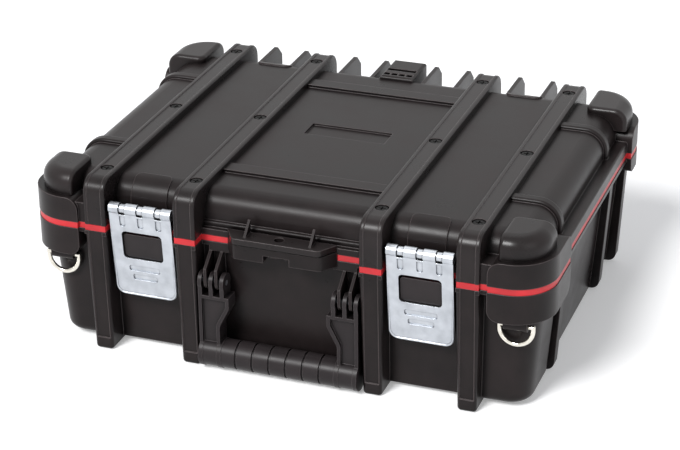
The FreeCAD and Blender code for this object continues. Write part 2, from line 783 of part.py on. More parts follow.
def base_lobes():
    lobes = []
    x = spread("half_width + overrun")
    front = ("-rib_reach - overrun", "0")
    rear = ("0", "rib_reach + overrun")
    for end, y, height, radius in (("front", front, "base_lobe_height", "base_lobe_round"),
                                   ("rear", rear, "rear_lobe_height", "rear_lobe_round")):
        z = (f"rim_height - {height}", "rim_height")
        blocks = corner_lobes(f"base_{end}_lobe_blocks", z)
        forms = rounded(f"base_{end}_lobe_forms", blocks, size(radius), lobe_low_end)
        lobes.append(shared(f"base_{end}_lobes", forms, block(f"base_{end}_half", x, y, z)))
    return lobes


def make_base():
    tub = taper_block("tub", ("floor_height", "rim_height"), "tub_width_bottom", "tub_depth_bottom",
                      "tub_width_top", "tub_depth_top")
    tub_corners = rounded("tub_corners", tub, size("tub_round"), upright)
    tub_form = rounded("tub_form", tub_corners, size("tub_edge_round"), on_bottom)
    lobe_forms = base_lobes()
    flange = rim_plate("base_flange", ("rim_height - flange_thick", "rim_height"), "0")
    tongue = rim_plate("base_tongue", ("rim_height", "tongue_top"), "seal_depth")
    waisted = less("tub_waisted", tub_form, wall_bays())
    solid = joined("base_solid", [waisted, flange, tongue] + lobe_forms + base_ribs() + side_ribs()
                   + handle_lugs() + ring_lugs() + base_knuckles())
    hollow_form = taper_block("base_hollow_form", ("tub_floor", "rim_height"),
                              "tub_width_bottom - side_wall * 2", "tub_depth_bottom - front_wall * 2",
                              "tub_width_top - side_wall * 2", "tub_depth_top - rim_wall * 2")
    hollow_corners = rounded("base_hollow_corners", hollow_form, size("tub_round") - size("wall"), upright)
    hollow = rounded("base_hollow", hollow_corners, size("tub_edge_round") - size("wall"), on_bottom)
    mouth_block = block("base_mouth_block", spread("tub_width_top / 2 - side_wall + mouth_step"),
                        spread("tub_depth_top / 2 - rim_wall + mouth_step"),
                        ("rim_height", "seal_top + overrun"))
    mouth = rounded("base_mouth", mouth_block, size("tub_round") - size("wall"), upright)
    bores = []
    for side, place in hinge_places():
        x = around(place, "fin_spread")
        bores.append(rod(f"hinge_bore_{side}", "hinge_bore", x, "hinge_depth", "lid_low"))
    for side, sign in SIDES:
        x = sided(sign, "lug_block_inner", "handle_half_width")
        bores.append(rod(f"handle_bore_{side}", "handle_bore", x, "-handle_depth", "handle_pivot"))
        bores.append(rod(f"ring_bore_{side}", "ring_bore", around(f"{sign}ring_place", "ring_half_width"),
                         "-ring_depth", "ring_height"))
    return solid, less("base", solid, group("base_cuts", [hollow, mouth] + bores + rib_channels()))


# Lid shell

def lid_fins():
    fins = []
    for side, place in hinge_places():
        for number, offset in (("a", "- fin_spread / 2"), ("b", "+ fin_spread / 2")):
            x = around(f"{place} {offset}", "fin_thick / 2")
            web = [("fin_root", "lid_low"), ("hinge_depth - fin_eye", "lid_low"), ("fin_reach", "lid_low"),
                   ("fin_reach", "fin_top - fin_slope"), ("hinge_depth", "fin_top"), ("fin_root", "fin_top")]
            fins.append(prism(f"fin_{side}_{number}", "YZ", web, *x))
            fins.append(rod(f"fin_eye_{side}_{number}", "fin_eye", x, "hinge_depth", "lid_low"))
    return fins


def lid_ribs():
    ribs = []
    for number, place in enumerate(("-cross_rib_place", "cross_rib_place"), 1):
        ribs.append(block(f"cross_rib_{number}", spread("inner_rib"), around(place, "cross_rib_width / 2"),
                          ("panel_height - cross_rib_rise", "panel_height + cross_rib_rise")))
    over = dome("side_rib_dome", "side_rib_rise", "lid_low")
    strips = []
    for side, sign in SIDES:
        x = sided(sign, "outer_rib", "half_width")
        for number, place in enumerate(("-side_rib_place", "side_rib_place"), 1):
            strips.append(block(f"side_strip_{side}_{number}", x, around(place, "half_side_rib"),
                                ("lid_low", "case_height")))
    bars = shared("lid_side_bars", over, group("side_strips", strips))
    ribs.append(rounded("lid_side_ribs", bars, size("side_rib_edge"), rib_arris))
    return ribs


def latch_pads():
    over = dome("pad_dome", "pad_rise", "lid_low")
    strips = []
    for side, place in (("left", "-latch_place"), ("right", "latch_place")):
        for end, y in (("front", ("-rib_reach", "-pad_start")), ("back", ("pad_start", "rib_reach"))):
            strip = block(f"pad_strip_{side}_{end}", around(place, "pad_width / 2"), y,
                          ("lid_low", "case_height"))
            strips.append(rounded(f"pad_form_{side}_{end}", strip, size("pad_round"), upright))
    return shared("latch_pads", over, group("pad_strips", strips))


def latch_seats():
    y = ("-latch_seat_reach", "-half_dome_depth + lid_wall")
    return [block(f"latch_seat_{side}", around(place, "leaf_width / 2"), y, ("lid_low", "leaf_top"))
            for side, place in (("left", "-latch_place"), ("right", "latch_place"))]


def lid_links():
    # Webs between the outer straps and the lobes.
    return [block(f"lid_link_{side}", sided(sign, "outer_rib + half_rib", "lobe_start + link_step"),
                  spread("rib_reach - link_step"), ("lid_low", "lid_low + link_height"))
            for side, sign in SIDES]


def screw_places():
    for number, place in enumerate(("-outer_rib", "-inner_rib", "inner_rib", "outer_rib"), 1):
        for row, y in (("front", "-screw_place"), ("middle", "0"), ("back", "screw_place")):
            yield number, row, place, y


def rivet_places():
    for side, place in (("left", "-latch_place"), ("right", "latch_place")):
        for number, offset in (("a", "- rivet_spread"), ("b", "+ rivet_spread")):
            yield f"{side}_{number}", f"{place} {offset}"


def make_lid():
    form = dome("lid_dome", "0", "lid_low")
    lobes = corner_lobes("lid_lobe_blocks", ("lid_low", "lid_low + lid_lobe_height"))
    lobe_forms = rounded("lid_lobes", lobes, size("lid_lobe_round"), lobe_top_end)
    flange = rim_sheet("lid_flange_sheet", ("lid_low", "lid_low + lid_flange"), "0")
    step = block("lid_step_block", spread("half_width - flange_step"), spread("bay_reach - flange_step"),
                 ("lid_low", "lid_low + lid_flange + flange_step_rise"))
    step_corners = rounded("lid_step_corners", step, size("lobe_round"), upright)
    step_form = rounded("lid_step", step_corners, size("flange_step_round"), on_top)
    solid = joined("lid_solid", [form, lobe_forms, flange, step_form, latch_pads()] + lid_ribs() + lid_fins()
                   + latch_seats() + lid_links())
    inner = block("lid_hollow_block", spread("half_dome_width - lid_wall"),
                  spread("half_dome_depth - lid_wall"), ("lid_low - overrun", "panel_height - lid_wall"))
    inner_corners = rounded("lid_hollow_corners", inner, size("dome_round") - size("lid_wall"), upright)
    hollow = rounded("lid_hollow", inner_corners, size("dome_edge_round") - size("lid_wall"), on_top)
    cuts = [hollow, block("plate_recess", spread("plate_half_width"), ("-plate_front", "plate_back"),
                          ("panel_height - plate_sink", "case_height"))]
    for side, place in hinge_places():
        x = around(place, "fin_spread")
        cuts.append(rod(f"fin_bore_{side}", "hinge_bore", x, "hinge_depth", "lid_low"))
    for number, row, x, y in screw_places():
        cuts.append(post(f"lid_screw_hole_{number}_{row}", "shank_radius + shank_fit", x, y,
                         ("panel_height - lid_wall * 2", "case_height")))
    for name, x in rivet_places():
        cuts.append(stud(f"lid_rivet_hole_{name}", "rivet_radius + shank_fit", x,
                         ("-latch_seat_reach - overrun", "-latch_seat_reach + rivet_grip + shank_fit"),
                         "rivet_height"))
    return solid, less("lid", solid, group("lid_cuts", cuts))


# Straps over the lid, screwed down

def strap_bar(name, x, inset):
    bar = block(name + "_bar", x, spread(f"rib_reach - {inset}"), ("lid_low", f"case_height - {inset}"))
    return rounded(name, bar, size("strap_edge_round") - size(inset),
                   lambda edge, shape: on_top(edge, shape) and crosswise(edge))


def strap_lip(name, x, outer):
    def outer_flank(edge, shape):
        plane = outer(corner.X for corner in shape.Vertexes)
        flat = all(abs(corner.X - plane) < size("touch") for corner in edge.Vertexes)
        return flat and not on_bottom(edge, shape)
    return rounded(name, strap_bar(name + "_arch", x, "0"), size("strap_side_round"), outer_flank)


def make_straps(lid_solid):
    for number, place in enumerate(("-outer_rib", "-inner_rib", "inner_rib", "outer_rib"), 1):
        core = strap_bar(f"strap_{number}_core", around(place, "channel_width / 2"), "channel_sink")
        low, high = around(place, "half_rib")
        left = strap_lip(f"strap_{number}_left", (low, f"{place} - channel_width / 2"), min)
        right = strap_lip(f"strap_{number}_right", (f"{place} + channel_width / 2", high), max)
        arch = less(f"strap_{number}_arch", joined(f"strap_{number}_blank", [core, left, right]), lid_solid)
        cuts = []
        for strap, row, x, y in screw_places():
            if strap == number:
                cuts.append(post(f"strap_sink_{number}_{row}", "sink_radius", x, y,
                                 ("case_height - screw_sink - channel_sink", "case_height + overrun")))
                cuts.append(post(f"strap_hole_{number}_{row}", "shank_radius + shank_fit", x, y,
                                 ("lid_low", "case_height")))
        piece(less(f"strap_{number}", arch, joined(f"strap_{number}_holes", cuts)), f"lid_strap_{number}")


def make_screws():
    screws = []
    seat = "case_height - screw_sink - channel_sink"
    for number, row, x, y in screw_places():
        name = f"screw_{number}_{row}"
        head = post(name + "_head", "head_radius", x, y, (seat, f"{seat} + head_thick"))
        shank = post(name + "_shank", "shank_radius", x, y, ("panel_height - lid_wall - lid_wall", seat))
        top = (f"{seat} + head_thick - driver_sink", f"{seat} + head_thick + overrun")
        long_way, short_way = "driver_length / 2", "driver_width / 2"
        cross = joined(name + "_cross", [
            block(name + "_cross_x", around(x, long_way), around(y, short_way), top),
            block(name + "_cross_y", around(x, short_way), around(y, long_way), top)])
        screws.append(less(name, joined(name + "_body", [head, shank]), cross))
    piece(group("screws", screws), "strap_screws")


def make_bumpers(lid_solid):
    low = "lid_low + lid_lobe_height"
    over = block("bumper_block", spread("half_width - bumper_inset"), spread("rib_reach - bumper_inset"),
                 ("lid_low", "case_height"))
    corners = rounded("bumper_corners", over, size("lobe_round") - size("bumper_inset"), upright)
    crown = rounded("bumper_crown", corners, size("bumper_edge_round"), on_top)
    for side, sign in SIDES:
        x = sided(sign, "bumper_start", "half_width + overrun")
        for end, y in (("front", ("-rib_reach - overrun", "-bumper_front_start")),
                       ("rear", ("bumper_rear_start", "rib_reach + overrun"))):
            name = f"bumper_{end}_{side}"
            block_form = block(name + "_block", x, y, (low, "case_height + overrun"))
            corner = rounded(name + "_corner", block_form, size("bumper_inner_round"), upright)
            skin = shared(name + "_skin", crown, corner)
            soft = rounded(name + "_soft", skin, size("bumper_lip_round"), inner_lip)
            piece(less(name, soft, lid_solid), f"corner_bumper_{end}_{side}")


# Seal strip, hinge pins and stand block

def make_seal():
    outer = rim_plate("seal_outer", ("rim_height", "seal_top"), "seal_recess")
    inner = rim_plate("seal_inner", ("rim_height - overrun", "seal_top + overrun"), "seal_depth")
    piece(less("seal", outer, inner), "rim_seal")


def make_hinge_pins():
    pins = [rod(f"hinge_pin_{side}", "hinge_pin_radius",
                around(place, "fin_spread / 2 + fin_thick / 2 + pin_proud"), "hinge_depth", "lid_low")
            for side, place in hinge_places()]
    piece(group("hinge_pin_set", pins), "hinge_pins")


def make_stand(lid_solid):
    body = block("stand_body", spread("stand_half_width"), ("stand_front", "stand_back"),
                 ("panel_height - stand_drop", "panel_height + stand_rise"))
    form = rounded("stand_form", body, size("stand_round"), on_top)
    pitch = "(stand_pocket + stand_pocket_gap)"
    deep = ("panel_height + stand_rise - stand_pocket_sink", "case_height")
    cuts = []
    for number, steps in enumerate(("-3 / 2", "-1 / 2", "1 / 2", "3 / 2"), 1):
        cuts.append(block(f"stand_pocket_{number}", around(f"{pitch} * ({steps})", "stand_pocket / 2"),
                          ("stand_pocket_front", "stand_pocket_front + stand_pocket"), deep))
    cuts.append(block("stand_slot", spread(f"{pitch} * 2 - stand_pocket_gap / 2"),
                      ("stand_slot_front", "stand_slot_front + stand_slot_width"), deep))
    whole = less("stand_whole", form, lid_solid)
    piece(less("stand", whole, group("stand_cuts", cuts)), "rear_stand_block")


# Latches

def latch_knuckles(side, place):
    gaps = []
    for number, steps in enumerate(("-1", "0", "1"), 1):
        gaps.append((f"{side}_{number}", f"{place} + leaf_pitch * ({steps})"))
    return gaps


def below_pin(drop, height):
    return f"-({drop}) - ({height})", f"-({drop})"


def make_flap(side, place):
    name = f"flap_{side}"
    x = around(place, "half_latch")
    sheet_block = block(name + "_block", x, ("flap_face", "flap_back"), ("-flap_length", "0"))
    plate = rounded(name + "_plate", sheet_block, size("latch_round"),
                    lambda edge, shape: on_bottom(edge, shape) and lengthwise(edge))
    barrel = rod(name + "_barrel", "barrel_radius", x, "0", "0")
    whole = joined(name + "_whole", [plate, barrel])
    through = ("-barrel_radius - overrun", "barrel_radius + overrun")
    cuts = [rod(name + "_bore", "latch_bore", around(place, "half_latch + overrun"), "0", "0")]
    for number, middle in latch_knuckles(side, place):
        cuts.append(rod(f"flap_gap_{number}", "barrel_radius + knuckle_clearance",
                        around(middle, "knuckle_gap"), "0", "0"))
    opening = block(name + "_opening", around(place, "window_width / 2"), through,
                    below_pin("window_drop", "window_height"))
    cuts.append(rounded(name + "_window", opening, size("window_round"), front_to_back))
    pressed = ("-barrel_radius - overrun", "flap_face + press_depth")
    for label, width, drop in (("upper", "upper_bar_width / 2", "upper_bar_drop"),
                               ("lower", "lower_bar_width / 2", "lower_bar_drop")):
        bar = block(f"{name}_bar_{label}_block", around(place, width), pressed,
                    below_pin(drop, "bar_height"))
        cuts.append(rounded(f"{name}_bar_{label}", bar, size("bar_round"), front_to_back))
    for number, middle in latch_knuckles(side, place):
        slot = block(f"flap_slot_{number}_block", around(middle, "slot_width / 2"), pressed,
                     below_pin("slot_drop", "slot_length"))
        cuts.append(rounded(f"flap_slot_{number}", slot, size("bar_round"),
                            lambda edge, shape: on_bottom(edge, shape) and lengthwise(edge)))
    hang(less(name, whole, joined(name + "_cuts", cuts)), f"latch_flap_{side}")


def make_leaf(side, place):
    name = f"leaf_{side}"
    y = ("-leaf_front", "-latch_seat_reach")
    plate = block(name + "_plate", around(place, "leaf_width / 2"), y, ("leaf_foot", "leaf_top"))
    parts = [plate]
    for number, middle in latch_knuckles(side, place):
        x = around(middle, "half_knuckle")
        parts.append(rod(f"leaf_knuckle_{number}", "leaf_knuckle_radius", x,
                         "-barrel_depth", "barrel_height"))
        parts.append(block(f"leaf_neck_{number}", x, y, ("leaf_foot", "barrel_height")))
    whole = joined(name + "_whole", parts)
    cuts = [rod(name + "_bore", "latch_bore", around(place, "half_latch"), "-barrel_depth", "barrel_height")]
    for label, x in rivet_places():
        if label.startswith(side):
            cuts.append(stud(f"leaf_rivet_hole_{label}", "rivet_radius + shank_fit", x,
                             ("-leaf_front - overrun", "-latch_seat_reach + overrun"), "rivet_height"))
    piece(less(name, whole, group(name + "_cuts", cuts)), f"latch_leaf_{side}")


def make_latches(base_solid):
    rivets = []
    for side, place in (("left", "-latch_place"), ("right", "latch_place")):
        make_flap(side, place)
        make_leaf(side, place)
        pin = rod(f"latch_pin_rod_{side}", "latch_pin_radius", around(place, "half_latch"),
                  "-barrel_depth", "barrel_height")
        piece(group(f"latch_pin_group_{side}", [pin]), f"latch_pin_{side}")
        front = "-latch_back + catch_clearance + lean_share * (barrel_height - {})"
        outline = [(front.format("catch_high"), "catch_high"), (front.format("catch_low"), "catch_low"),
                   ("-half_dome_depth", "catch_low"), ("-half_dome_depth", "catch_high")]
        blank = prism(f"catch_block_{side}", "YZ", outline, *around(place, "catch_width / 2"))
        soft = rounded(f"catch_soft_{side}", blank, size("catch_round"), front_to_back)
        piece(less(f"catch_{side}", soft, base_solid), f"latch_catch_{side}")
    for name, x in rivet_places():
        head = stud(f"rivet_head_{name}", "rivet_head_radius", x,
                    ("-leaf_front - rivet_head_thick", "-leaf_front"), "rivet_height")
        shank = stud(f"rivet_shank_{name}", "rivet_radius", x,
                     ("-leaf_front", "-latch_seat_reach + rivet_grip"), "rivet_height")
        rivets.append(joined(f"rivet_{name}", [head, shank]))
    piece(group("rivets", rivets), "latch_rivets")


# Carry handle

def handle_arm(side, sign):
    name = f"arm_{side}"

    def across(text):
        return f"{sign}({text})"
    y = around("-handle_depth", "half_arm")
    outline = [(across("handle_half_width"), "grip_height"), (across("handle_half_width"), "arm_shoulder"),
               (across("arm_inner_top"), "arm_shoulder"), (across("arm_inner_top"), "arm_bend_high"),
               (across("arm_inner_low"), "arm_bend_low"), (across("arm_inner_low"), "grip_height")]
    sheet = prism(name + "_sheet", "XZ", outline, *y)
    plate = rounded(name + "_plate", sheet, size("arm_bend_round"), arm_bend)
    hollow = [(across("handle_half_width - arm_rim"), "grip_height"),
              (across("handle_half_width - arm_rim"), "arm_shoulder - arm_rim"),
              (across("arm_inner_top + arm_rim"), "arm_shoulder - arm_rim"),
              (across("arm_inner_top + arm_rim"), "arm_bend_high + arm_rim / 2"),
              (across("arm_inner_low + arm_rim"), "arm_bend_low + arm_rim / 2"),
              (across("arm_inner_low + arm_rim"), "grip_height")]
    sink = prism(name + "_sink", "XZ", hollow, "-handle_depth - half_arm - overrun",
                 "-handle_depth - half_arm + arm_recess")
    recess = rounded(name + "_recess", sink, size("arm_bend_round"), arm_bend)
    parts = [less(name + "_panel", plate, recess)]
    for number, steps in (("outer", "0"), ("middle", "1"), ("inner", "2")):
        x = around(across(f"outer_finger - finger_pitch * {steps}"), "half_finger")
        parts.append(block(f"{name}_finger_{number}", x, around("-handle_depth", "half_arm"),
                           ("arm_shoulder - arm_rim", "handle_pivot")))
        parts.append(rod(f"{name}_tip_{number}", "finger_radius", x, "-handle_depth", "handle_pivot"))
    for label, place in (("outer", "handle_half_width - collar_width / 2"), ("inner", "arm_inner_low")):
        parts.append(rod(f"{name}_collar_{label}", "collar_radius", around(across(place), "collar_width / 2"),
                         "-handle_depth", "grip_height"))
    return parts


def make_handle():
    parts = handle_arm("left", "-") + handle_arm("right", "")
    parts.append(rod("grip_bar", "grip_radius", spread("handle_half_width - collar_width / 2"),
                     "-handle_depth", "grip_height"))
    whole = joined("handle_whole", parts)
    cuts = [rod("handle_pin_bore", "handle_bore", spread("handle_half_width + overrun"), "-handle_depth",
                "handle_pivot")]
    for number, steps in enumerate(("-5 / 2", "-3 / 2", "-1 / 2", "1 / 2", "3 / 2", "5 / 2"), 1):
        x = around(f"grip_groove_pitch * ({steps})", "grip_groove_width / 2")
        ring = rod(f"groove_ring_{number}", "collar_radius", x, "-handle_depth", "grip_height")
        core = rod(f"groove_core_{number}", "grip_radius - grip_groove_depth", x,
                   "-handle_depth", "grip_height")
        cuts.append(less(f"groove_{number}", ring, core))
    piece(less("handle", whole, group("handle_cuts", cuts)), "carry_handle")
    pins = []
    for side, sign in SIDES:
        x = sided(sign, "outer_finger - finger_pitch * 2 - half_finger", "handle_half_width")
        pins.append(rod(f"handle_pin_{side}", "handle_pin_radius", x, "-handle_depth", "handle_pivot"))
    piece(group("handle_pin_set", pins), "handle_pins")


# Padlock tab on the lid and lock block on the base

def make_lock():
    outline = [("-tab_root_half", "-bay_reach"), ("-tab_front_half", "-tab_reach"),
               ("tab_front_half", "-tab_reach"), ("tab_root_half", "-bay_reach")]
    plate = prism("tab_plate", "XY", outline, "tab_low", "tab_top")
    blank = rounded("tab_blank", plate, size("tab_round"), front_corner)
    corners = rounded("tab_corners", blank, size("lock_seam_round"), low_front)
    bore = post("padlock_bore", "padlock_radius", "0", "-padlock_place",
                ("lock_low - overrun", "tab_top + overrun"))
    web = [("-bay_reach", "tab_top"), ("-tab_reach + tab_round", "tab_top"),
           ("-bay_reach", "tab_top + gusset_rise")]
    gussets = [prism(f"gusset_{side}", "YZ", web, *around(f"{sign}gusset_place", "gusset_thick / 2"))
               for side, sign in SIDES]
    piece(less("tab", joined("tab_whole", [corners] + gussets), bore), "lock_tab")
    halves = []
    for label, root, top in (("lower", "-bay_reach", "rim_height"),
                             ("upper", "-bay_reach - lock_gap", "lock_top")):
        outline = [("-tab_root_half", root), ("-tab_front_half", "-rib_reach"),
                   ("tab_front_half", "-rib_reach"), ("tab_root_half", root)]
        form = prism(f"lock_{label}_form", "XY", outline, "lock_low", top)
        blank = rounded(f"lock_{label}_blank", form, size("tab_round"), front_corner)
        halves.append(rounded(f"lock_{label}", blank, size("lock_seam_round"), top_front))
    notch = block("lock_notch", spread("lock_notch_half"),
                  ("-rib_reach - overrun", "-bay_reach - lock_root"),
                  ("lock_low - overrun", "lock_low + lock_notch_rise"))
    whole = joined("lock_whole", halves)
    piece(less("lock", whole, group("lock_cuts", [notch, bore])), "lock_block")


# D-rings

def make_rings():
    for side, sign in SIDES:
        place = f"{sign}ring_place"
        low, high = around(place, "ring_half_width")
        parts = [rod(f"ring_bar_{side}", "wire_radius", (low, high), "-ring_depth", "ring_height")]
        for number, x in (("a", low), ("b", high)):
            parts.append(post(f"ring_leg_{side}_{number}", "wire_radius", x, "-ring_depth",
                              ("ring_height - ring_leg", "ring_height")))
            corner = doc.addObject("Part::Sphere", f"ring_corner_{side}_{number}")
            bind(corner, Radius="wire_radius")
            bind(corner, Placement__Base__x=x, Placement__Base__y="-ring_depth",
                 Placement__Base__z="ring_height")
            parts.append(corner)
        bow = doc.addObject("Part::Torus", f"ring_bow_{side}")
        bind(bow, Radius1="ring_half_width", Radius2="wire_radius")
        bow.Angle3 = 180
        bow.Placement = FreeCAD.Placement(FreeCAD.Vector(), FreeCAD.Rotation(FreeCAD.Vector(1, 0, 0), -90))
        bind(bow, Placement__Base__x=place, Placement__Base__y="-ring_depth",
             Placement__Base__z="ring_height - ring_leg")
        parts.append(bow)
        piece(joined(f"ring_{side}", parts), f"d_ring_{side}")


def faults():
    doc.recompute()
    found = [f"{item.Name} {item.State}" for item in doc.Objects
             if "Invalid" in item.State or "Error" in item.State]
    for item in pieces:
        if item.Shape.isNull() or not item.Shape.isValid() or not item.Shape.Solids:
            found.append(f"{item.Label} has no valid solid")
    return found


def main():
    fill_sheet()
    base_solid, base = make_base()
    piece(base, "base_shell")
    lid_solid, lid = make_lid()
    piece(lid, "lid_shell")
    make_seal()
    make_straps(lid_solid)
    make_screws()
    make_bumpers(lid_solid)
    make_stand(lid_solid)
    make_hinge_pins()
    make_latches(base_solid)
    make_handle()
    make_lock()
    make_rings()
    found = faults()
    if found:
        raise RuntimeError("; ".join(found))
    os.makedirs("parts", exist_ok=True)
    for item in pieces:
        item.Shape.exportStep(f"parts/{item.Label}.step")
        print(item.Label, len(item.Shape.Solids), round(item.Shape.Volume))


main()
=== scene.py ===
import json
import math

import bpy
from mathutils import Matrix, Vector


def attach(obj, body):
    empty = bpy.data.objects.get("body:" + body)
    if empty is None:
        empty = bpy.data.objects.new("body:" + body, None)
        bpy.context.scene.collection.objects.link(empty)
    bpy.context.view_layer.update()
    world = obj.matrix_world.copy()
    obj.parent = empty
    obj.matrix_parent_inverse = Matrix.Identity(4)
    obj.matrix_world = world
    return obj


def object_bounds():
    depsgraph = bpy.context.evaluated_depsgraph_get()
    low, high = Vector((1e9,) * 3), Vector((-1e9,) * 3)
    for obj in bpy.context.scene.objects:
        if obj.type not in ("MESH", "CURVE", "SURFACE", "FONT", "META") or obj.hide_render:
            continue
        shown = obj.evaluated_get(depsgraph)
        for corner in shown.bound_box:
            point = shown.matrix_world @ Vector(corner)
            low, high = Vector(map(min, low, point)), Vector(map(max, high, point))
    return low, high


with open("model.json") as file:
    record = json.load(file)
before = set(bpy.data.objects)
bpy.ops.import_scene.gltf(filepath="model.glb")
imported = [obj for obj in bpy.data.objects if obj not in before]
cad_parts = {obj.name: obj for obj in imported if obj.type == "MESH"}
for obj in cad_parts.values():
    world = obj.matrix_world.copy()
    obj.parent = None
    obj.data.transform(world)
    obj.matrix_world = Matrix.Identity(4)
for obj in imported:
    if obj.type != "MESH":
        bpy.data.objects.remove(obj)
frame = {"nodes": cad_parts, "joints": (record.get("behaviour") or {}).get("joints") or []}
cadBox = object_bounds()  # the solids' own box; the floor is laid under it
nodes = frame["nodes"]
joints = {joint["name"]: joint for joint in frame["joints"]}
millimetre = 0.001
perMetre = 1000  # a pattern's size in mm goes under this to give its scale
addToScene = bpy.context.scene.collection.objects.link
print("tool case loaded:", len(nodes), "pieces")

camera = {  # a long lens from the right front, a little above the lid
    "target": (0.06502, -0.20519, 0.172),
    "azimuth": 20.21,
    "elevation": 25.77,
    "roll": -0.56,
    "distance": 1.81104,
    "lens": 113.33,
    "sensor": 36,
    "near": 0.05,
    "far": 60,
}


def setCamera(view):
    turn = math.radians(view["azimuth"])
    lift = math.radians(view["elevation"])
    roll = math.radians(view["roll"])
    level = math.cos(lift)
    back = Vector((math.sin(turn) * level, -math.cos(turn) * level, math.sin(lift)))
    right = (-back).cross(Vector((0, 0, 1))).normalized()
    up = right.cross(-back)
    across = right * math.cos(roll) + up * math.sin(roll)
    upward = up * math.cos(roll) - right * math.sin(roll)
    data = bpy.data.cameras.new("photoCamera")
    data.lens = view["lens"]
    data.sensor_width = view["sensor"]
    data.clip_start = view["near"]
    data.clip_end = view["far"]
    body = bpy.data.objects.new("photoCamera", data)
    pose = Matrix((across, upward, back)).transposed().to_4x4()
    pose.translation = Vector(view["target"]) + back * view["distance"]
    body.matrix_world = pose
    addToScene(body)
    bpy.context.scene.camera = body


setCamera(camera)
print("camera set")


def linear(hexColour):
    parts = [int(hexColour[i:i + 2], 16) / 255 for i in (1, 3, 5)]
    return [p / 12.92 if p <= 0.04045 else ((p + 0.055) / 1.055) ** 2.4 for p in parts] + [1]


def addNode(tree, kind, values=None, links=None, **settings):
    node = tree.nodes.new(kind)
    for name, value in settings.items():
        setattr(node, name, value)
    for name, value in (values or {}).items():
        node.inputs[name].default_value = value
    for name, source in (links or {}).items():
        tree.links.new(source, node.inputs[name])
    return node


def newMaterial(name):
    material = bpy.data.materials.new(name)
    material.use_nodes = True
    material.node_tree.nodes.clear()
    return material, material.node_tree


# Black polypropylene, injection moulded in a spark-eroded tool: a dull even black
# that goes grey where it mirrors the white studio, with a fine pebbled grain.
moulded = {
    "dark": "#1b1717",
    "pale": "#262020",
    "patches": (0.32, 0.70),     # parts of the noise where dark ends and pale begins
    "mottle": 45,                # mm between patches of flow marks
    "paintedHighlight": "#665d5d",         # painted highlight on the arrises, standing in for light caught by their rounding
    "highlightFrom": (0.995, 0.80),  # how far the arris turns before the painted highlight starts, and where it is full
    # most of the painted highlight that an arris gets
    "highlightMost": 0.8,
    "paintedCreaseShade": "#040303",          # painted shade in the creases, where nearby faces hide the studio's light
    "crease": 7,                 # mm from a corner that the painted shade reaches
    "creaseFrom": (0.35, 0.95),  # openness of a full crease and of a face with no painted shade
    "ior": 1.49,
    "specular": 0.17,
    "roughness": (0.27, 0.38),
    "grain": 0.9,                # mm; the real grain is near 0.2 mm, drawn coarser so that it shows
    "grainDepth": 0.05,          # mm
    "grainStrength": 0.6,
    "edge": 1.3,                 # mm of softened arris
}
# The straps and corner bumpers come from a smoother part of the tool: a little more sheen.
smoothMoulded = dict(moulded, specular=0.24, roughness=(0.25, 0.35), grainDepth=0.03, edge=1.2)
# Glass-filled nylon, moulded: the handle and catches are a touch greyer, with crisper arrises and a
# paler painted highlight along them.
nylon = dict(moulded, dark="#231f20", pale="#2d2829", paintedHighlight="#6a6263", specular=0.18, ior=1.53,
             roughness=(0.30, 0.42), edge=0.7)
glossFrom = (0.3, 0.7)  # parts of a noise that spread the roughness from its least to its most
feelers = 6             # rays that the softened arris and the creases are felt out with


